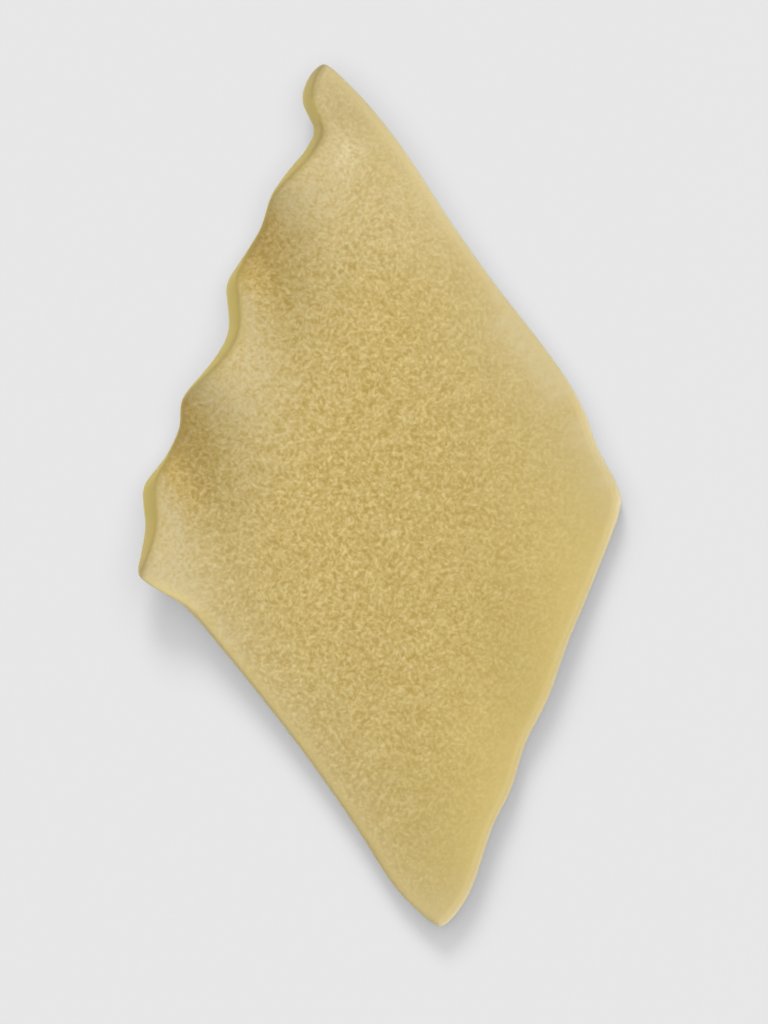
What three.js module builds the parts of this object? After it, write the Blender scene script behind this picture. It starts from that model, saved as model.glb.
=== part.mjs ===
// Taccozzetta: one lozenge of dried durum wheat pasta, cut on the slant from a ribbon with a ruffled side.
// Millimetres, +Z up. It lies as it dried, with the ruffled side towards -X and its long diagonal near Y.
// The origin is the middle of its footprint, at the height that it rests on.
import * as THREE from "three";

// The dried sheet.
const THICKNESS = 1.4;
const EDGE_RADIUS = 0.35; // each face rounds into the cut edge
const COLOUR = 0xcbb273;
const ROUGHNESS = 0.55;

// The lozenge's corners as its sharp outline would have them. The edges' rounding blunts them.
const TIP = new THREE.Vector2(-2.78, 21.38);
const RIGHT = new THREE.Vector2(12.08, -0.3);
const BOTTOM = new THREE.Vector2(3.08, -21.7);
const LEFT = new THREE.Vector2(-12.02, -4.05);

// Each side's outline: how far along the straight line between its corners, and how far outside it.
// A lobe of the ruffle stands out where the sheet passes through level. It draws in at crests and hollows.
const RUFFLED_SIDE = [
  [0, 0],
  [0.8, 0.26],
  [1.4, 0.3],
  [2, 0.2],
  [2.5, -0.1],
  [2.85, -0.52],
  [3.3, -0.94],
  [3.95, -0.92],
  [4.65, -0.78],
  [5.9, -0.25],
  [6.9, 0.05],
  [8.8, -0.04],
  [11.75, 0.6],
  [12.85, 0.15],
  [14, -0.32],
  [15.3, -0.22],
  [17.85, 0.7],
  [19.4, 0.35],
  [21, 0.57],
  [22.65, 1],
  [23.6, 0.65],
  [24.6, 0.2],
  [26.2, 0],
  [27.05, 0],
]; // from the tip to the left corner
const UPPER_CUT = [
  [0, 0],
  [1.5, 0.36],
  [3.2, 0.66],
  [5.9, 0.83],
  [10.1, 0.74],
  [13.8, 0.8],
  [19, 1.08],
  [21.5, 0.94],
  [23.6, 0.4],
  [25.4, 0.22],
  [26.3, 0],
]; // from the tip to the right corner
const PLAIN_SIDE = [
  [0, 0],
  [1.2, 0.2],
  [5.5, 0.3],
  [7.5, 0.3],
  [10.6, 0.46],
  [13, 0.3],
  [15.4, 0.52],
  [17.5, 0.4],
  [20.7, 0.62],
  [22.2, 0.4],
  [23.2, 0],
]; // from the right corner to the bottom one
const LOWER_CUT = [
  [0, 0],
  [1.2, -0.3],
  [2.8, -0.8],
  [5.2, -0.83],
  [9.1, -0.72],
  [13.1, -0.48],
  [17.1, -0.06],
  [20, 0.34],
  [21.8, 0.24],
  [23.2, 0],
]; // from the left corner to the bottom one

// The ruffle: a wave along the ruffled side that dies away across the sheet.
const RUFFLE_PITCH = 10.6;
const FIRST_CREST = 1.5; // from the left corner, along the side
const CREST_RISE = 0.79;
const HOLLOW_DEPTHS = [1.25, 1.15, 0.5]; // each beyond its crest. The last is at the tip.
const RUFFLE_REACH = 2.94; // where its slope has mostly died away
const RUFFLE_EASE = 0.74; // how softly it does

// A faint ripple along the plain side.
const RIPPLE_RISE = 0.15;
const RIPPLE_PITCH = 10.5;
const RIPPLE_CREST = 3.9; // from the bottom corner, along the side
const RIPPLE_REACH = 3.2;

// The sheet's slow warp: rises measured at the sides, from a flat middle.
const TROUGH_RISE = 0.48; // of both long sides
const LEAN_RISE = 0.52; // of the ruffled side over the middle, and as much fall at the plain side
const BOW_FALL = 0.09; // of both cuts

// The tray that it dried on flattened what touched it.
const REST_FLAT_DEPTH = 0.1;

// Facets: rows run from the lower cut to the upper one, columns from the ruffled side to the plain one.
const ROWS = 60;
const COLUMNS = 36;
const SLOPE_STEP = 0.01; // over which the sheet's slope is taken

// How fast each long side's own curve fades out across the sheet, as a power of the share still to go.
const RUFFLED_FADE = 4;
const PLAIN_FADE = 3;

// How strongly the rows bow towards the tip beside the notch. Straight rows would graze the side there.
const ROW_BOW = 90;

// The smooth value at x through [x, value] stations, whose slope at each follows its neighbours.
function through(stations, x) {
  const last = stations.length - 1;
  let i = 0;
  while (i < last - 1 && x > stations[i + 1][0]) i += 1;
  const slopeAt = (k) => {
    const [x0, y0] = stations[Math.max(k - 1, 0)];
    const [x1, y1] = stations[Math.min(k + 1, last)];
    return (y1 - y0) / (x1 - x0);
  };
  const [start, from] = stations[i];
  const [end, to] = stations[i + 1];
  const span = end - start;
  const u = (x - start) / span;
  const ease = u * u * (3 - 2 * u);
  const rise = (1 - u) * u * span * ((1 - u) * slopeAt(i) - u * slopeAt(i + 1));
  return from + (to - from) * ease + rise;
}

// The point on a side's outline at a share of its length. turn is 1 where outside is to its left.
function sidePoint(from, to, stations, share, turn) {
  const along = to.clone().sub(from);
  const outward = new THREE.Vector2(-along.y, along.x).normalize().multiplyScalar(turn);
  const stationsEnd = stations[stations.length - 1][0];
  return from
    .clone()
    .addScaledVector(along, share)
    .addScaledVector(outward, through(stations, share * stationsEnd));
}

const shares = (count) => Array.from({ length: count + 1 }, (_, k) => k / count);

// The outline as four rows of points, from the lower end to the upper one or from left to right.
const outline = {
  ruffled: shares(ROWS).map((s) => sidePoint(TIP, LEFT, RUFFLED_SIDE, 1 - s, -1)),
  plain: shares(ROWS).map((s) => sidePoint(RIGHT, BOTTOM, PLAIN_SIDE, 1 - s, 1)),
  upper: shares(COLUMNS).map((t) => sidePoint(TIP, RIGHT, UPPER_CUT, t, 1)),
  lower: shares(COLUMNS).map((t) => sidePoint(LEFT, BOTTOM, LOWER_CUT, t, -1)),
};

// A row of outline points drawn in by the edge's rounding. turn is 1 where outside is to its left.
function drawnIn(points, turn) {
  return points.map((point, k) => {
    const before = points[Math.max(k - 1, 0)];
    const after = points[Math.min(k + 1, points.length - 1)];
    const inward = new THREE.Vector2(after.y - before.y, before.x - after.x).normalize();
    return point.clone().addScaledVector(inward, turn * EDGE_RADIUS);
  });
}

// Where two drawn-in sides meet: the corner, moved inwards along both.
function meetCorner(corner, rowA, endA, rowB, endB) {
  const shift = rowA[endA].clone().add(rowB[endB]).sub(corner).sub(corner);
  const reach = shift.lengthSq() / 2 / EDGE_RADIUS;
  const met = corner.clone().addScaledVector(shift, EDGE_RADIUS / reach);
  rowA[endA] = met;
  rowB[endB] = met.clone();
}

const inner = {
  ruffled: drawnIn(outline.ruffled, 1),
  plain: drawnIn(outline.plain, -1),
  upper: drawnIn(outline.upper, 1),
  lower: drawnIn(outline.lower, -1),
};
meetCorner(LEFT, inner.ruffled, 0, inner.lower, 0);
meetCorner(TIP, inner.ruffled, ROWS, inner.upper, 0);
meetCorner(BOTTOM, inner.plain, 0, inner.lower, COLUMNS);
meetCorner(RIGHT, inner.plain, ROWS, inner.upper, COLUMNS);

// The sheet in plan: a flat lozenge between the corners, with each side's own curve fading out across it.
function planPoint(i, j) {
  const s = i / ROWS;
  const t = j / COLUMNS;
  const [left, bottom] = [inner.lower[0], inner.lower[COLUMNS]];
  const [tip, right] = [inner.upper[0], inner.upper[COLUMNS]];
  const straight = (a, b, share) => a.clone().lerp(b, share);
  const bow = ROW_BOW * t * (1 - t) ** 6 * s ** 8 * (1 - s) ** 2;
  const point = straight(straight(left, bottom, t), straight(tip, right, t), s + bow);
  const add = (curved, chord, fade) => point.add(curved.clone().sub(chord).multiplyScalar(fade));
  add(inner.ruffled[i], straight(left, tip, s), (1 - t) ** RUFFLED_FADE);
  add(inner.plain[i], straight(bottom, right, s), t ** PLAIN_FADE);
  add(inner.upper[j], straight(tip, right, t), s);
  add(inner.lower[j], straight(left, bottom, t), 1 - s);
  return point;
}

// The waves' ridges run across the sheet as the cuts do.
const ridges = BOTTOM.clone().sub(LEFT).add(RIGHT).sub(TIP).normalize();

// How far inside a side a plan point is. turn is 1 where inside is to the side's right.
function insideOf(point, from, to, turn) {
  const side = to.clone().sub(from).normalize();
  return turn * point.clone().sub(from).cross(side);
}

// How far from a side's lower corner a ridge through a plan point starts.
function ridgeStart(point, from, to) {
  const side = to.clone().sub(from).normalize();
  const offset = point.clone().sub(from);
  return offset.dot(side) - (offset.cross(side) * ridges.dot(side)) / ridges.cross(side);
}

// A wave of height 1 at its crests.
const wave = (along, crest, pitch) => Math.cos((2 * Math.PI * (along - crest)) / pitch);

// The height of the sheet's middle surface at a plan point.
function height(point) {
  const fromRuffled = insideOf(point, LEFT, TIP, 1);
  const fromPlain = insideOf(point, BOTTOM, RIGHT, -1);
  const fromLower = insideOf(point, LEFT, BOTTOM, -1);
  const fromUpper = insideOf(point, TIP, RIGHT, 1);

  const along = ridgeStart(point, LEFT, TIP);
  const crestsPassed = Math.floor((along - FIRST_CREST) / RUFFLE_PITCH);
  const hollowDepth = HOLLOW_DEPTHS[THREE.MathUtils.clamp(crestsPassed, 0, HOLLOW_DEPTHS.length - 1)];
  const ruffleWave = wave(along, FIRST_CREST, RUFFLE_PITCH);
  const swing = ((1 + ruffleWave) * CREST_RISE - (1 - ruffleWave) * hollowDepth) / 2;
  const reachLeft = RUFFLE_EASE * Math.log1p(Math.exp((RUFFLE_REACH - fromRuffled) / RUFFLE_EASE));
  const ruffle = (swing * reachLeft) / RUFFLE_REACH;

  const rippleWave = wave(ridgeStart(point, BOTTOM, RIGHT), RIPPLE_CREST, RIPPLE_PITCH);
  const ripple = RIPPLE_RISE * rippleWave * Math.exp(-((fromPlain / RIPPLE_REACH) ** 2));

  const across = (fromRuffled - fromPlain) / (fromRuffled + fromPlain);
  const lengthwise = (fromLower - fromUpper) / (fromLower + fromUpper);
  const warp = TROUGH_RISE * across ** 2 - LEAN_RISE * across - BOW_FALL * lengthwise ** 2;
  return ruffle + ripple + warp;
}

// The sheet's direction upwards at a plan point.
function faceNormal(point) {
  const fall = (x, y) => {
    const step = new THREE.Vector2(x, y).multiplyScalar(SLOPE_STEP);
    return (height(point.clone().sub(step)) - height(point.clone().add(step))) / 2 / SLOPE_STEP;
  };
  return new THREE.Vector3(fall(1, 0), fall(0, 1), 1).normalize();
}

// The point lifted square to the sheet from a plan point, and moved out within the sheet in a plan direction.
function overSheet(point, lift, outwards, out) {
  const normal = faceNormal(point);
  const level = new THREE.Vector3(outwards.x, outwards.y, 0).projectOnPlane(normal).normalize();
  return new THREE.Vector3(point.x, point.y, height(point))
    .addScaledVector(normal, lift)
    .addScaledVector(level, out);
}

const plan = shares(ROWS).map((_, i) => shares(COLUMNS).map((_, j) => planPoint(i, j)));

// The outline's point at a grid place of the border.
function onOutline(i, j) {
  if (i === 0) return outline.lower[j];
  if (i === ROWS) return outline.upper[j];
  return j === 0 ? outline.ruffled[i] : outline.plain[i];
}

const positions = [];
const triangles = [];

function addVertex(point) {
  positions.push(point.clone());
  return positions.length - 1;
}

function addQuad(a, b, c, d) {
  triangles.push(a, b, c, a, c, d);
}

// One face of the sheet, as far from its middle as lift, with its cells split the same way on both faces.
function addFace(lift) {
  const grid = plan.map((row) => row.map((point) => addVertex(overSheet(point, lift, point, 0))));
  for (let i = 0; i < ROWS; i += 1) {
    for (let j = 0; j < COLUMNS; j += 1) {
      const cell = [grid[i][j], grid[i][j + 1], grid[i + 1][j + 1], grid[i + 1][j]];
      if (lift < 0) addQuad(cell[0], cell[3], cell[2], cell[1]);
      else addQuad(...cell);
    }
  }
  return grid;
}

// The border's grid places, once round with the sheet on the left.
const border = [
  ...shares(COLUMNS).slice(0, -1).map((_, k) => [0, k]),
  ...shares(ROWS).slice(0, -1).map((_, k) => [k, COLUMNS]),
  ...shares(COLUMNS).slice(0, -1).map((_, k) => [ROWS, COLUMNS - k]),
  ...shares(ROWS).slice(0, -1).map((_, k) => [ROWS - k, 0]),
];

// The cut edge between the faces: a quarter round, a flat and a quarter round.
function addEdge(upperGrid, lowerGrid) {
  const half = THICKNESS / 2;
  const slant = EDGE_RADIUS * Math.SQRT1_2;
  const profile = [
    [slant, half - EDGE_RADIUS + slant],
    [EDGE_RADIUS, half - EDGE_RADIUS],
    [EDGE_RADIUS, EDGE_RADIUS - half],
    [slant, EDGE_RADIUS - half - slant],
  ];
  const rings = profile.map(([out, up]) =>
    border.map(([i, j]) =>
      addVertex(overSheet(plan[i][j], up, onOutline(i, j).clone().sub(plan[i][j]), out)),
    ),
  );
  rings.unshift(border.map(([i, j]) => upperGrid[i][j]));
  rings.push(border.map(([i, j]) => lowerGrid[i][j]));
  for (let ring = 0; ring < rings.length - 1; ring += 1) {
    border.forEach((_, k) => {
      const next = (k + 1) % border.length;
      addQuad(rings[ring][k], rings[ring + 1][k], rings[ring + 1][next], rings[ring][next]);
    });
  }
}

addEdge(addFace(THICKNESS / 2), addFace(-THICKNESS / 2));

// Set it on its flattened spots, over the middle of its footprint.
const box = new THREE.Box3().setFromPoints(positions);
const restHeight = box.min.z + REST_FLAT_DEPTH;
const centre = box.getCenter(new THREE.Vector3());
positions.forEach((point) => {
  point.x -= centre.x;
  point.y -= centre.y;
  point.z = Math.max(point.z - restHeight, 0);
});

const geometry = new THREE.BufferGeometry().setFromPoints(positions);
geometry.setIndex(triangles);
geometry.computeVertexNormals();

const taccozzetta = new THREE.Mesh(
  geometry,
  new THREE.MeshStandardMaterial({ color: COLOUR, roughness: ROUGHNESS, metalness: 0 }),
);
taccozzetta.name = "taccozzetta";

const part = new THREE.Group();
part.add(taccozzetta);

export default part;
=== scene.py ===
import logging
import math
from collections.abc import Callable
from dataclasses import dataclass, field
from enum import Enum

import bmesh
import bpy
import numpy as np
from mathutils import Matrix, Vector


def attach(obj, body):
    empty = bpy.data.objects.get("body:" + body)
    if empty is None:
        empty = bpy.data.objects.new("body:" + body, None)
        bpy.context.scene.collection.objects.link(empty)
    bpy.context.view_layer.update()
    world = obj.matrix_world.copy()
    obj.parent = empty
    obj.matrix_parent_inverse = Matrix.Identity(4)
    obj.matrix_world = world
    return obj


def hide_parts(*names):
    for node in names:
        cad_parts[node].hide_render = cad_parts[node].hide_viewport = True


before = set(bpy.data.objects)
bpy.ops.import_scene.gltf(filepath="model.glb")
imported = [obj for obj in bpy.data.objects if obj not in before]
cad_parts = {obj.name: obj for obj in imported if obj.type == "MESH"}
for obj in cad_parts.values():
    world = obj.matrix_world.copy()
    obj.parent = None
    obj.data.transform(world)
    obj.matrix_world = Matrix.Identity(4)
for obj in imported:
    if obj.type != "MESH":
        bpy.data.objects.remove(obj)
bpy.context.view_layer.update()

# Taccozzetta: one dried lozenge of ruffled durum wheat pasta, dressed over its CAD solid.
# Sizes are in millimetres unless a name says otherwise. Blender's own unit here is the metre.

Tree = bpy.types.NodeTree
Socket = bpy.types.NodeSocket
Triple = tuple[float, float, float]
Colour = tuple[float, float, float, float]

MM = 0.001
# The level halfway between the skin's pits and its ridges.
MIDDLE = 0.5
# The vertex attribute that marks the cut edge.
CUT_FACE = "cut_face"

logging.basicConfig(level=logging.INFO, format="%(name)s: %(message)s")
log = logging.getLogger("taccozzetta")


def linear(hex_colour: str) -> Colour:
    """Turns an sRGB hex colour into linear light.

    Args:
        hex_colour: the colour as "#rrggbb".

    Returns:
        Its linear red, green and blue, and an alpha of 1.
    """
    shares = [int(hex_colour[k : k + 2], 16) / 255 for k in (1, 3, 5)]
    red, green, blue = (c / 12.92 if c <= 0.04045 else ((c + 0.055) / 1.055) ** 2.4 for c in shares)
    return red, green, blue, 1.0


def add_node(
    tree: Tree,
    kind: str,
    settings: dict[str, object] | None = None,
    inputs: dict[int | str, object] | None = None,
) -> bpy.types.Node:
    """Adds a node with its settings and links.

    Args:
        tree: the node tree that it goes into.
        kind: the node type's name.
        settings: the node's own properties.
        inputs: a value, or another node's output, for each input's name or place.

    Returns:
        The new node.
    """
    node = tree.nodes.new(kind)
    for name, value in (settings or {}).items():
        setattr(node, name, value)
    for key, value in (inputs or {}).items():
        if isinstance(value, Socket):
            tree.links.new(value, node.inputs[key])
        else:
            node.inputs[key].default_value = value
    return node


def sums(tree: Tree, operation: str, *terms: Socket | float) -> Socket:
    """Chains one arithmetic operation over its terms.

    Args:
        tree: the node tree that it goes into.
        operation: the Math node's operation.
        terms: numbers or outputs, taken from left to right.

    Returns:
        The last result.
    """
    result = terms[0]
    for term in terms[1:]:
        result = add_node(tree, "ShaderNodeMath", {"operation": operation}, {0: result, 1: term}).outputs[0]
    return result


class Side(Enum):
    """The lozenge's four sides, valued by the vertex attribute that holds the distance from each."""

    RUFFLED = "from_ruffled_side"
    UPPER_CUT = "from_upper_cut"
    PLAIN = "from_plain_side"
    LOWER_CUT = "from_lower_cut"


@dataclass(frozen=True)
class Band:
    """A band along a side: its share at the side, and the distance by which that has fallen to a third."""

    share: float = 0.0
    reach: float = 1.0


@dataclass(frozen=True)
class Patch:
    """A round patch of the skin.

    Attributes:
        centre: its centre.
        reach: how far from its centre it ends.
        share: its mean share at its centre.
    """

    centre: Triple
    reach: float
    share: float


@dataclass(frozen=True)
class Rim:
    """How the dough dried along one side.

    Attributes:
        cut: the cut face's colour, lighter as painted light on a side turned from the key light, darker as
            painted shade on a side that faces it.
        lip: how many times over the mesh's mark of the cut edge counts, to bring its finish, with the cut
            colour's painted light and shade, over the lip.
        smooth: the share of the wrinkles that is missing.
        clear: the share of brighter yellow, painted glow where the key light falls on the side.
        dull: the share of the duller, paler dough, which the crests carry too.
        pales: the shares of whitened dough, as a narrow band and a broad one.
    """

    cut: str
    lip: float = 1.7
    smooth: Band = Band()
    clear: Band = Band()
    dull: Band = Band()
    pales: tuple[Band, ...] = ()


@dataclass(frozen=True)
class Spot:
    """What a node tree reads at the point that it works on.

    Attributes:
        place: the point in millimetres.
        distances: the distance from each side in millimetres.
        cut_face: the share of the cut face's finish.
    """

    place: Socket
    distances: dict[Side, Socket]
    cut_face: Socket


@dataclass(frozen=True)
class DriedPasta:
    """Durum wheat dough, rolled, cut with a blade and slowly air-dried.

    Semolina's carotene gives the deep straw yellow. As the skin shrinks over a softer core it wrinkles into
    fine pale squiggles, and light goes a little way into the dense, glassy dough, which softens its shading.
    """

    # The skin's pits and the strokes between them. Then what lies over them: a brighter yellow by the plain
    # side, painted glow where the key light falls; gold in the ruffle's hollows, painted shade; bloom on its
    # crests, darkened as painted shade; painted shade over the pits at the tip; whitened dough at the rims.
    crumb: str = "#b4984c"
    stroke: str = "#ddc98c"
    clear: str = "#dcc672"
    shaded_gold: str = "#b8903d"
    bloom_and_shade: str = "#bcb08d"
    tip_shade: str = "#9c8748"
    whitened: str = "#dccfa6"

    # Dull, with a faint gloss. Light goes up to 0.6 mm into the dough, and its red the farthest.
    roughness: float = 0.6
    ior: float = 1.45
    gloss: float = 0.2
    translucency: float = 0.5
    depth: float = 0.6
    bleed: Triple = (1.0, 0.7, 0.3)

    # Scales are per millimetre. A cell of strokes is 0.33 mm across, and with 0.75 waves to a cell they are
    # 0.44 mm apart. Each direction has its own scale and place, so that no two of them line up.
    stroke_scale: float = 3.05
    stroke_scale_step: float = 0.12
    stroke_shift: Triple = (5.3, 7.7, 0.0)
    stroke_waves: float = 0.75
    stroke_straightness: float = 0.5
    stroke_marks: tuple[float, float] = (0.43, 0.81)
    stroke_directions: int = 3

    # The strokes' lean drifts over 1.4 mm, within this range in radians.
    lean_scale: float = 0.7
    lean_range: float = 4.0

    # Mottles 0.4 mm across, as broken strokes leave them.
    mottle_share: float = 0.4
    mottle_scale: float = 2.5
    mottle_detail: float = 1.0
    mottle_distortion: float = 1.0
    mottle_marks: tuple[float, float] = (0.25, 0.75)

    # The crests' bloom, darkened as painted shade, comes in between two heights above the board, as the
    # painted gold shade of the hollows goes.
    crest_bloom_and_shade: float = 0.5
    crest_heights: tuple[float, float] = (1.7, 2.6)
    hollow_shade: Band = Band(0.3, 2.5)

    pale_patches: tuple[Patch, ...] = (
        Patch((-1.6, 16.9, 2.2), 1.6, 0.4),
        Patch((0.5, 14.0, 1.9), 5.0, 0.2),
        Patch((3.0, -20.3, 1.6), 2.4, 0.12),
    )
    # Painted shade over the pits at the tip.
    shaded_tip: Patch = Patch((-2.5, 19.3, 2.4), 3.0, 0.24)

    # The real relief: the wrinkles' height from pit to ridge, and slow swells 2.2 mm across.
    relief: float = 0.012
    swell: float = 0.02
    swell_pitch: float = 2.2
    swell_detail: float = 2.0

    # How far each side's cut colour and lip reach round its corners, a later side's over an earlier one's.
    own_cut: Band = Band(1.0, 0.7)
    rims: tuple[tuple[Side, Rim], ...] = (
        # Painted light: the ruffled side's cut face is turned from the key light, so its yellow is brightened
        # and run over the lip.
        (Side.RUFFLED, Rim("#f1dc84", lip=2.1, smooth=Band(0.2, 0.8))),
        # Painted shade: the upper cut's face catches the key light, so its colour is darkened.
        (Side.UPPER_CUT, Rim("#ae9b60", smooth=Band(0.6, 2.6), pales=(Band(0.45, 0.35), Band(0.34, 2.2)))),
        (
            Side.LOWER_CUT,
            Rim(
                "#dcc67c",
                lip=1.0,
                smooth=Band(0.1, 0.6),
                dull=Band(0.3, 2.4),
                pales=(Band(0.35, 0.35), Band(0.1, 2.4)),
            ),
        ),
        (
            Side.PLAIN,
            Rim(
                # Painted shade: the plain side's cut face faces the key light, so its colour is darkened.
                "#968556",
                smooth=Band(0.75, 3.2),
                # Painted glow: a brighter yellow along the plain side, which faces the key light.
                clear=Band(0.6, 2.8),
                pales=(Band(0.3, 0.35), Band(0.14, 1.4)),
            ),
        ),
    )

    def wrinkles(self, tree: Tree, place: Socket) -> Socket:
        """Draws the wrinkled skin: short pale strokes that cross in a few leaning directions, over mottles.

        Args:
            tree: a shader's or a geometry's node tree.
            place: the point in millimetres.

        Returns:
            The skin's level there, from 0 in a pit to 1 on a ridge.
        """
        ridges: Socket | float = 0.0
        for k in range(self.stroke_directions):
            shift = tuple(k * step for step in self.stroke_shift)
            own_place = add_node(
                tree, "ShaderNodeVectorMath", {"operation": "ADD"}, {0: place, 1: shift}
            ).outputs[0]
            drift = add_node(
                tree,
                "ShaderNodeTexNoise",
                inputs={"Vector": own_place, "Scale": self.lean_scale, "Detail": 0.0},
            ).outputs[0]
            lean = sums(tree, "MULTIPLY", drift, self.lean_range)
            strokes = add_node(
                tree,
                "ShaderNodeTexGabor",
                {"gabor_type": "2D"},
                {
                    "Vector": own_place,
                    "Scale": self.stroke_scale * (1 + self.stroke_scale_step * k),
                    "Frequency": self.stroke_waves,
                    "Anisotropy": self.stroke_straightness,
                    "Orientation": sums(tree, "ADD", lean, math.pi * k / self.stroke_directions),
                },
            ).outputs["Value"]
            ridges = sums(tree, "MAXIMUM", ridges, self.rising(tree, strokes, *self.stroke_marks))
        mottles = add_node(
            tree,
            "ShaderNodeTexNoise",
            inputs={
                "Vector": place,
                "Scale": self.mottle_scale,
                "Detail": self.mottle_detail,
                "Distortion": self.mottle_distortion,
            },
        ).outputs[0]
        return add_node(
            tree,
            "ShaderNodeMix",
            {"data_type": "FLOAT"},
            {0: self.mottle_share, 2: ridges, 3: self.rising(tree, mottles, *self.mottle_marks)},
        ).outputs[0]

    def rising(self, tree: Tree, value: Socket, low: float, high: float) -> Socket:
        """Eases a value up from 0 at a low mark to 1 at a high one, or down where the low mark is the higher.

        Args:
            tree: the node tree that it goes into.
            value: the value.
            low: the mark where the result is 0.
            high: the mark where it is 1.

        Returns:
            The result.
        """
        return add_node(
            tree,
            "ShaderNodeMapRange",
            {"interpolation_type": "SMOOTHSTEP"},
            {"Value": value, "From Min": low, "From Max": high},
        ).outputs[0]

    def fading(self, tree: Tree, distance: Socket, band: Band) -> Socket:
        """Lets a band's share die away with the distance from its side.

        Args:
            tree: the node tree that it goes into.
            distance: the distance from the side in millimetres.
            band: the band.

        Returns:
            The share at that distance.
        """
        # An exponent reads its first term alone.
        power = sums(tree, "DIVIDE", distance, -band.reach)
        return sums(tree, "MULTIPLY", sums(tree, "EXPONENT", power, 0.0), band.share)

    def along(self, tree: Tree, spot: Spot, bands: list[tuple[Side, Band]]) -> list[Socket]:
        """Lays bands along their sides.

        Args:
            tree: the node tree that it goes into.
            spot: what the tree reads.
            bands: each band, with its side.

        Returns:
            The share of each band that has one.
        """
        return [self.fading(tree, spot.distances[side], band) for side, band in bands if band.share]

    def patched(self, tree: Tree, spot: Spot, patch: Patch, pattern: Socket) -> Socket:
        """Lays a patch that shows where a pattern is high.

        Args:
            tree: the node tree that it goes into.
            spot: what the tree reads.
            patch: the patch.
            pattern: the pattern, from 0 to 1 about the middle.

        Returns:
            The patch's share.
        """
        away = add_node(
            tree, "ShaderNodeVectorMath", {"operation": "DISTANCE"}, {0: spot.place, 1: patch.centre}
        ).outputs["Value"]
        near = self.rising(tree, away, patch.reach, 0.0)
        return sums(tree, "MULTIPLY", near, pattern, patch.share / MIDDLE)

    def any_of(self, tree: Tree, shares: list[Socket]) -> Socket:
        """Joins shares as overlapping layers do.

        Args:
            tree: the node tree that it goes into.
            shares: each layer's share.

        Returns:
            The share that at least one of them covers.
        """
        missed = [sums(tree, "SUBTRACT", 1.0, share) for share in shares]
        return sums(tree, "SUBTRACT", 1.0, sums(tree, "MULTIPLY", 1.0, *missed))

    def layered(self, tree: Tree, base: str, layers: list[tuple[Socket, str | Socket]]) -> Socket:
        """Lays colours over a base.

        Args:
            tree: the shader's node tree.
            base: the base's colour.
            layers: each layer's share and colour, from the lowest up.

        Returns:
            The colour that shows.
        """
        shown: Socket | Colour = linear(base)
        for share, layer in layers:
            over = linear(layer) if isinstance(layer, str) else layer
            shown = add_node(
                tree, "ShaderNodeMix", {"data_type": "RGBA"}, {0: share, 6: shown, 7: over}
            ).outputs[2]
        return shown

    def read_spot(self, tree: Tree, metres: Socket, read: Callable[[str], Socket]) -> Spot:
        """Reads what the finish depends on, and runs the cut face's finish over each side's lip.

        Args:
            tree: the node tree that it goes into.
            metres: the point in metres.
            read: reads a vertex attribute by its name.

        Returns:
            What the tree reads.
        """
        place = add_node(
            tree, "ShaderNodeVectorMath", {"operation": "SCALE"}, {0: metres, "Scale": 1 / MM}
        ).outputs[0]
        distances = {side: read(side.value) for side in Side}
        lip: Socket | float = 1.0
        for side, rim in self.rims:
            near = self.fading(tree, distances[side], self.own_cut)
            lip = add_node(
                tree, "ShaderNodeMix", {"data_type": "FLOAT"}, {0: near, 2: lip, 3: rim.lip}
            ).outputs[0]
        cut_face = sums(tree, "MINIMUM", sums(tree, "MULTIPLY", read(CUT_FACE), lip), 1.0)
        return Spot(place, distances, cut_face)

    def wrinkling(self, tree: Tree, spot: Spot) -> Socket:
        """Tells how wrinkled the skin is, as the rims dried smooth and the blade left the cut face plain.

        Args:
            tree: the node tree that it goes into.
            spot: what the tree reads.

        Returns:
            The share of the wrinkles' full strength.
        """
        result = sums(tree, "SUBTRACT", 1.0, spot.cut_face)
        for side, rim in self.rims:
            lost = self.fading(tree, spot.distances[side], rim.smooth)
            result = sums(tree, "MULTIPLY", result, sums(tree, "SUBTRACT", 1.0, lost))
        return result

    def colour(self, tree: Tree, spot: Spot) -> Socket:
        """Colours the dough.

        Args:
            tree: the shader's node tree.
            spot: what the tree reads.

        Returns:
            The colour.
        """
        level = sums(tree, "SUBTRACT", self.wrinkles(tree, spot.place), MIDDLE)
        pits = sums(tree, "SUBTRACT", MIDDLE, level)
        strokes = sums(tree, "ADD", sums(tree, "MULTIPLY", level, self.wrinkling(tree, spot)), MIDDLE)

        height = add_node(tree, "ShaderNodeSeparateXYZ", inputs={0: spot.place}).outputs["Z"]
        raised = self.rising(tree, height, *self.crest_heights)
        # Bloom on the crests, partly painted shade: its darker colour holds back the light that the crests
        # catch.
        crest = sums(tree, "MULTIPLY", raised, sums(tree, "ADD", strokes, MIDDLE), self.crest_bloom_and_shade)
        # Painted shade: warm gold over the low places by the ruffled side, where the hollows lie in shadow.
        by_ruffle = self.fading(tree, spot.distances[Side.RUFFLED], self.hollow_shade)
        hollow_shade = sums(tree, "MULTIPLY", sums(tree, "SUBTRACT", 1.0, raised), by_ruffle)

        glow_shares = self.along(tree, spot, [(side, rim.clear) for side, rim in self.rims])
        dulls = self.along(tree, spot, [(side, rim.dull) for side, rim in self.rims])
        pales = self.along(tree, spot, [(side, band) for side, rim in self.rims for band in rim.pales])
        pales += [self.patched(tree, spot, patch, strokes) for patch in self.pale_patches]

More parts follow.
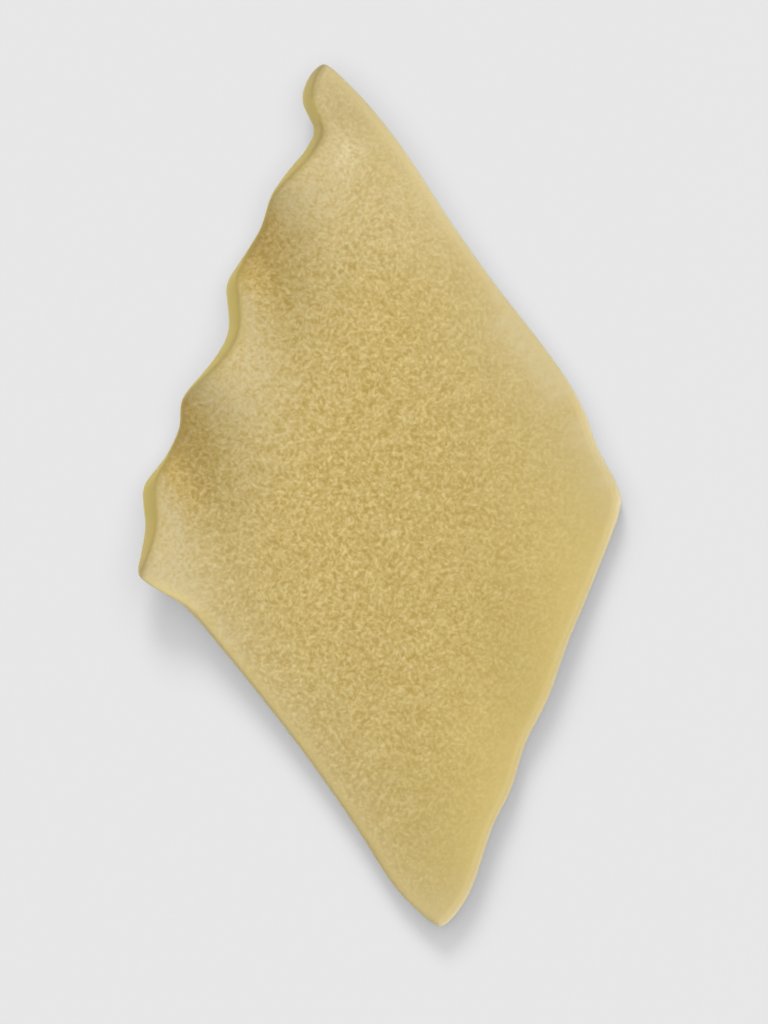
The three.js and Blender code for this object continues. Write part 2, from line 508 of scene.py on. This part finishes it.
        cuts = [(self.fading(tree, spot.distances[side], self.own_cut), rim.cut) for side, rim in self.rims]
        layers = [
            (strokes, self.stroke),
            # Painted glow by the plain side.
            (self.any_of(tree, glow_shares), self.clear),
            (hollow_shade, self.shaded_gold),
            (self.any_of(tree, [crest, *dulls]), self.bloom_and_shade),
            # Painted shade in the tip's pits.
            (self.patched(tree, spot, self.shaded_tip, pits), self.tip_shade),
            # The cut faces' colours, with each side's painted light or painted shade.
            (spot.cut_face, self.layered(tree, self.clear, cuts)),
            (self.any_of(tree, pales), self.whitened),
        ]
        return self.layered(tree, self.crumb, layers)

    def material(self) -> bpy.types.Material:
        """Builds the dried pasta's material.

        Returns:
            The material, which reads Object coordinates and the mesh's own attributes.
        """
        material = bpy.data.materials.new("air_dried_durum_pasta")
        material.use_nodes = True
        tree = material.node_tree
        tree.nodes.clear()

        def read(name: str) -> Socket:
            """Reads a vertex attribute."""
            return add_node(tree, "ShaderNodeAttribute", {"attribute_name": name}).outputs["Fac"]

        metres = add_node(tree, "ShaderNodeTexCoord").outputs["Object"]
        shader = add_node(
            tree,
            "ShaderNodeBsdfPrincipled",
            inputs={
                "Base Color": self.colour(tree, self.read_spot(tree, metres, read)),
                "Roughness": self.roughness,
                "IOR": self.ior,
                "Specular IOR Level": self.gloss,
                "Subsurface Weight": self.translucency,
                "Subsurface Radius": self.bleed,
                "Subsurface Scale": self.depth * MM,
            },
        )
        add_node(tree, "ShaderNodeOutputMaterial", inputs={"Surface": shader.outputs[0]})
        return material

    def relief_tree(self) -> Tree:
        """Builds the geometry nodes that raise the skin's wrinkles and slow swells along its normals.

        Returns:
            The node tree, for a Nodes modifier.
        """
        tree = bpy.data.node_groups.new("wrinkled_skin", "GeometryNodeTree")
        tree.interface.new_socket("Geometry", in_out="INPUT", socket_type="NodeSocketGeometry")
        tree.interface.new_socket("Geometry", in_out="OUTPUT", socket_type="NodeSocketGeometry")

        def read(name: str) -> Socket:
            """Reads a vertex attribute."""
            node = add_node(tree, "GeometryNodeInputNamedAttribute", {"data_type": "FLOAT"}, {"Name": name})
            return node.outputs["Attribute"]

        start = add_node(tree, "NodeGroupInput")
        metres = add_node(tree, "GeometryNodeInputPosition").outputs[0]
        spot = self.read_spot(tree, metres, read)
        level = sums(tree, "SUBTRACT", self.wrinkles(tree, spot.place), MIDDLE)
        ridges = sums(tree, "MULTIPLY", level, self.relief)
        swells = add_node(
            tree,
            "ShaderNodeTexNoise",
            inputs={"Vector": spot.place, "Scale": 1 / self.swell_pitch, "Detail": self.swell_detail},
        ).outputs[0]
        swell = sums(tree, "MULTIPLY", sums(tree, "SUBTRACT", swells, MIDDLE), self.swell / MIDDLE)
        rise = sums(tree, "MULTIPLY", sums(tree, "ADD", ridges, swell), self.wrinkling(tree, spot))
        normal = add_node(tree, "GeometryNodeInputNormal").outputs[0]
        offset = add_node(
            tree,
            "ShaderNodeVectorMath",
            {"operation": "SCALE"},
            {0: normal, "Scale": sums(tree, "MULTIPLY", rise, MM)},
        )
        moved = add_node(
            tree,
            "GeometryNodeSetPosition",
            inputs={"Geometry": start.outputs[0], "Offset": offset.outputs[0]},
        )
        add_node(tree, "NodeGroupOutput", inputs={0: moved.outputs[0]})
        return tree


@dataclass(frozen=True)
class PaleBoard:
    """A matt white lacquered board, sprayed and rubbed down, so it shows shadows and no reflections."""

    colour: str = "#eeeeee"
    roughness: float = 0.9

    def material(self) -> bpy.types.Material:
        """Builds the board's material.

        Returns:
            The material.
        """
        material = bpy.data.materials.new("matt_white_lacquer")
        material.use_nodes = True
        shader = material.node_tree.nodes["Principled BSDF"]
        shader.inputs["Base Color"].default_value = linear(self.colour)
        shader.inputs["Roughness"].default_value = self.roughness
        shader.inputs["Specular IOR Level"].default_value = 0.0
        return material


@dataclass
class DriedSheet:
    """The piece of pasta: the CAD solid's faces, rounded over and wrinkled.

    Attributes:
        node: the CAD node that it dresses.
        body: the body that it rides on.
        slot: the name of a material slot, not used.
        name: its own name.
        finish: its material and its relief.
        weld: the gap that joins the CAD mesh's loose triangles.
        ridge_angle: the bend in degrees that parts a rolled face from the cut edge.
        cut_easing: how many times over the cut edge's mark is eased.
        outline_points: how many directions the outline is measured in.
        top_slope: the upward part of a normal above which a face is split for the wrinkles.
    """

    node: str = "taccozzetta"
    body: str = "root"
    slot: str = "pasta"
    name: str = "pasta_sheet"
    finish: DriedPasta = field(default_factory=DriedPasta)
    weld: float = 0.001
    ridge_angle: float = 16.0
    cut_easing: int = 2
    outline_points: int = 180
    top_slope: float = 0.5

    def cage(self) -> bmesh.types.BMesh:
        """Copies the CAD node's mesh and welds it.

        Returns:
            The closed cage of triangles.
        """
        cage = bmesh.new()
        cage.from_mesh(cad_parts[self.node].data)
        bmesh.ops.remove_doubles(cage, verts=cage.verts, dist=self.weld * MM)
        cage.normal_update()
        log.info("cage: %d vertices, %d faces", len(cage.verts), len(cage.faces))
        return cage

    def skin(self, cage: bmesh.types.BMesh, up: int) -> set[bmesh.types.BMFace]:
        """Collects the triangles of a rolled face, which ends at the first ridge of the cut edge.

        Args:
            cage: the closed cage.
            up: 1 for the upper face and -1 for the lower one.

        Returns:
            Those triangles.
        """
        facing = [face for face in cage.faces if face.normal.z * up > 0]
        reached = {min(facing, key=lambda face: face.calc_center_median().xy.length)}
        waiting = list(reached)
        while waiting:
            for edge in waiting.pop().edges:
                if edge.calc_face_angle() < math.radians(self.ridge_angle):
                    found = set(edge.link_faces) - reached
                    reached |= found
                    waiting += found
        return reached

    def mark_cut_face(self, cage: bmesh.types.BMesh) -> None:
        """Stores 0 at the rolled faces' vertices and 1 at the cut edge's, eased over, for the finish to read.

        Args:
            cage: the closed cage.
        """
        layer = cage.verts.layers.float.new(CUT_FACE)
        skins = self.skin(cage, 1) | self.skin(cage, -1)
        rolled = {vertex for face in skins for vertex in face.verts}
        for vertex in cage.verts:
            vertex[layer] = float(vertex not in rolled)
        for _ in range(self.cut_easing):
            eased = {
                vertex: sum(edge.other_vert(vertex)[layer] for edge in vertex.link_edges)
                / len(vertex.link_edges)
                for vertex in cage.verts
            }
            for vertex, value in eased.items():
                vertex[layer] = (vertex[layer] + value) / 2

    def outline(self, cage: bmesh.types.BMesh) -> dict[Side, np.ndarray]:
        """Measures the piece's outline, side by side.

        Args:
            cage: the closed cage.

        Returns:
            Each side's points in plan, in millimetres, from corner to corner.
        """
        plan = np.array([vertex.co.xy for vertex in cage.verts]) / MM
        turn = np.arctan2(plan[:, 1], plan[:, 0]) / math.tau * self.outline_points
        outwards = np.argsort(np.linalg.norm(plan, axis=1))
        farthest = {round(turn[k]): plan[k] for k in outwards}
        points = np.array([farthest[k] for k in sorted(farthest)])
        left, bottom = points[:, 0].argmin(), points[:, 1].argmin()
        right, tip = points[:, 0].argmax(), points[:, 1].argmax()

        def run(start: int, end: int) -> np.ndarray:
            """Takes the points from one corner to the next, anticlockwise."""
            count = (end - start) % len(points)
            return points[(start + np.arange(count + 1)) % len(points)]

        return {
            Side.LOWER_CUT: run(left, bottom),
            Side.PLAIN: run(bottom, right),
            Side.UPPER_CUT: run(right, tip),
            Side.RUFFLED: run(tip, left),
        }

    def rounded(self, mesh: bpy.types.Mesh) -> bpy.types.Mesh:
        """Rounds a cage over by one level of subdivision.

        Args:
            mesh: the cage's mesh.

        Returns:
            The finer mesh.
        """
        carrier = bpy.data.objects.new("cage", mesh)
        bpy.context.scene.collection.objects.link(carrier)
        rounding = carrier.modifiers.new("rounding", "SUBSURF")
        rounding.levels = rounding.render_levels = 1
        return self.applied(carrier)

    def applied(self, carrier: bpy.types.Object) -> bpy.types.Mesh:
        """Applies an object's modifiers and removes the object.

        Args:
            carrier: the object that has them.

        Returns:
            The finished mesh.
        """
        graph = bpy.context.evaluated_depsgraph_get()
        mesh = bpy.data.meshes.new_from_object(carrier.evaluated_get(graph))
        bpy.data.objects.remove(carrier)
        return mesh

    def split_top(self, mesh: bpy.types.Mesh) -> None:
        """Splits what faces up finely enough to carry the wrinkles.

        Args:
            mesh: the rounded mesh, which it changes.
        """
        fine = bmesh.new()
        fine.from_mesh(mesh)
        shown = [face for face in fine.faces if face.normal.z > self.top_slope]
        edges = list({edge for face in shown for edge in face.edges})
        bmesh.ops.subdivide_edges(fine, edges=edges, cuts=1, use_grid_fill=True)
        for face in fine.faces:
            face.smooth = True
        fine.to_mesh(mesh)
        fine.free()

    def measure_sides(self, mesh: bpy.types.Mesh, sides: dict[Side, np.ndarray]) -> None:
        """Stores each vertex's distance in plan from each side, in millimetres.

        Args:
            mesh: the mesh, which it changes.
            sides: each side's points in plan.
        """
        places = np.empty(len(mesh.vertices) * 3)
        mesh.vertices.foreach_get("co", places)
        plan = places.reshape(-1, 3)[:, :2] / MM
        for side, points in sides.items():
            nearest = np.full(len(plan), np.inf)
            for start, end in zip(points[:-1], points[1:]):
                step = end - start
                share = np.clip((plan - start) @ step / (step @ step), 0, 1)
                gap = np.linalg.norm(plan - start - share[:, None] * step, axis=1)
                nearest = np.minimum(nearest, gap)
            mesh.attributes.new(side.value, "FLOAT", "POINT").data.foreach_set("value", nearest)

    def build(self) -> bpy.types.Object:
        """Builds and dresses the piece.

        Returns:
            The piece, riding on its body in the CAD node's place.
        """
        cage = self.cage()
        sides = self.outline(cage)
        self.mark_cut_face(cage)
        mesh = bpy.data.meshes.new(self.name)
        cage.to_mesh(mesh)
        cage.free()
        mesh = self.rounded(mesh)
        self.split_top(mesh)
        self.measure_sides(mesh, sides)

        carrier = bpy.data.objects.new(self.name, mesh)
        bpy.context.scene.collection.objects.link(carrier)
        carrier.modifiers.new("skin", "NODES").node_group = self.finish.relief_tree()
        piece = bpy.data.objects.new(self.name, self.applied(carrier))
        bpy.context.scene.collection.objects.link(piece)
        piece.data.materials.clear()
        piece.data.materials.append(self.finish.material())
        # The strong light on the rim would tint the board, so the piece's bounce is kept off the board.
        piece.visible_diffuse = False
        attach(piece, self.body)
        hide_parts(self.node)
        triangles = sum(len(face.vertices) - 2 for face in piece.data.polygons)
        log.info("%s: %d triangles", piece.name, triangles)
        return piece


@dataclass(frozen=True)
class Lamp:
    """A distant light.

    Attributes:
        azimuth: the direction towards it in degrees from +X round to +Y.
        elevation: its height above the board in degrees.
        strength: its strength in watts per square metre.
        softness: the angle that it covers in degrees.
    """

    azimuth: float
    elevation: float
    strength: float
    softness: float


@dataclass
class Studio:
    """The pale board under the piece, its lights and the camera straight above it.

    The piece's light comes low from its right, as its ruffle's shading shows. The board has light of its own
    from the picture's top, broad and steep with a lower, narrower part, so its shadow stays soft and short.

    Attributes:
        board_size: the length of the board's sides.
        board: the board's finish.
        key: the low light on the piece.
        piece_fill: the soft light from the piece's other side.
        board_top: the board's broad light.
        board_shade: the board's lower, narrower light.
        room_light: the strength of the even light from all round.
        picture_centre: the point of the plan in the picture's middle.
        picture_height: the length that the picture's height spans.
        lens: the camera's focal length, long enough to look straight down all over the piece.
        focus_height: the height above the board at which the picture has that length.
        clip_metres: the nearest and farthest that the camera sees, in metres.
    """

    board_size: float = 4000.0
    board: PaleBoard = field(default_factory=PaleBoard)
    key: Lamp = Lamp(azimuth=-28.0, elevation=36.0, strength=2.76, softness=30.0)
    piece_fill: Lamp = Lamp(azimuth=150.0, elevation=60.0, strength=0.4, softness=60.0)
    board_top: Lamp = Lamp(azimuth=108.7, elevation=68.9, strength=1.24, softness=94.4)
    board_shade: Lamp = Lamp(azimuth=100.7, elevation=34.9, strength=0.987, softness=20.0)
    room_light: float = 0.39
    picture_centre: tuple[float, float] = (0.2, -0.82)
    picture_height: float = 50.73
    lens: float = 500.0
    focus_height: float = 1.4
    clip_metres: tuple[float, float] = (0.01, 10.0)

    def build(self, piece: bpy.types.Object) -> None:
        """Sets the studio up round the piece.

        Args:
            piece: the piece of pasta.
        """
        scene = bpy.context.scene
        scene.view_settings.view_transform = "Standard"
        scene.view_settings.look = "None"
        floor = self.floor()
        lit_piece = self.receivers("lit_piece", piece)
        lit_board = self.receivers("lit_board", floor)
        self.sun("key", self.key, lit_piece)
        self.sun("piece_fill", self.piece_fill, lit_piece)
        self.sun("board_top", self.board_top, lit_board)
        self.sun("board_shade", self.board_shade, lit_board)
        self.room()
        self.camera()
        log.info("studio: board, four lights, room light and camera")

    def receivers(self, name: str, lit: bpy.types.Object) -> bpy.types.Collection:
        """Makes the collection of what a light falls on.

        Args:
            name: the collection's name.
            lit: the one object in it.

        Returns:
            The collection.
        """
        collection = bpy.data.collections.new(name)
        collection.objects.link(lit)
        return collection

    def floor(self) -> bpy.types.Object:
        """Makes the board that the piece lies on.

        Returns:
            The board, which is stage and not part of the piece.
        """
        shape = bmesh.new()
        bmesh.ops.create_grid(shape, x_segments=1, y_segments=1, size=self.board_size * MM / 2)
        mesh = bpy.data.meshes.new("board")
        shape.to_mesh(mesh)
        shape.free()
        mesh.materials.append(self.board.material())
        floor = bpy.data.objects.new("board", mesh)
        bpy.context.scene.collection.objects.link(floor)
        return floor

    def sun(self, name: str, lamp: Lamp, receivers: bpy.types.Collection) -> None:
        """Adds a distant light.

        Args:
            name: the light's name.
            lamp: its direction, strength and softness.
            receivers: the collection of what it falls on.
        """
        light = bpy.data.lights.new(name, "SUN")
        light.energy = lamp.strength
        light.angle = math.radians(lamp.softness)
        # Its light then comes by shadow rays alone. The piece stops those, though not the board's bounces.
        light.cycles.use_multiple_importance_sampling = False
        source = bpy.data.objects.new(name, light)
        bpy.context.scene.collection.objects.link(source)
        turn, rise = math.radians(lamp.azimuth), math.radians(lamp.elevation)
        towards = Vector((math.cos(turn) * math.cos(rise), math.sin(turn) * math.cos(rise), math.sin(rise)))
        source.rotation_euler = towards.to_track_quat("Z", "Y").to_euler()
        source.light_linking.receiver_collection = receivers

    def room(self) -> None:
        """Gives the room its even light."""
        world = bpy.data.worlds.new("room")
        bpy.context.scene.world = world
        world.use_nodes = True
        backdrop = world.node_tree.nodes["Background"]
        backdrop.inputs["Color"].default_value = linear("#ffffff")
        backdrop.inputs["Strength"].default_value = self.room_light

    def camera(self) -> None:
        """Hangs the camera straight above the piece, with the picture's top towards +Y."""
        lens = bpy.data.cameras.new("camera")
        lens.lens = self.lens
        # The sensor's width spans the picture's longer side, which is its height.
        height = self.picture_height * self.lens / lens.sensor_width + self.focus_height
        lens.clip_start, lens.clip_end = self.clip_metres
        camera = bpy.data.objects.new("camera", lens)
        bpy.context.scene.collection.objects.link(camera)
        camera.location = Vector((*self.picture_centre, height)) * MM
        bpy.context.scene.camera = camera


def main() -> None:
    """Builds the piece and its studio."""
    piece = DriedSheet().build()
    Studio().build(piece)


if __name__ == "__main__":
    main()
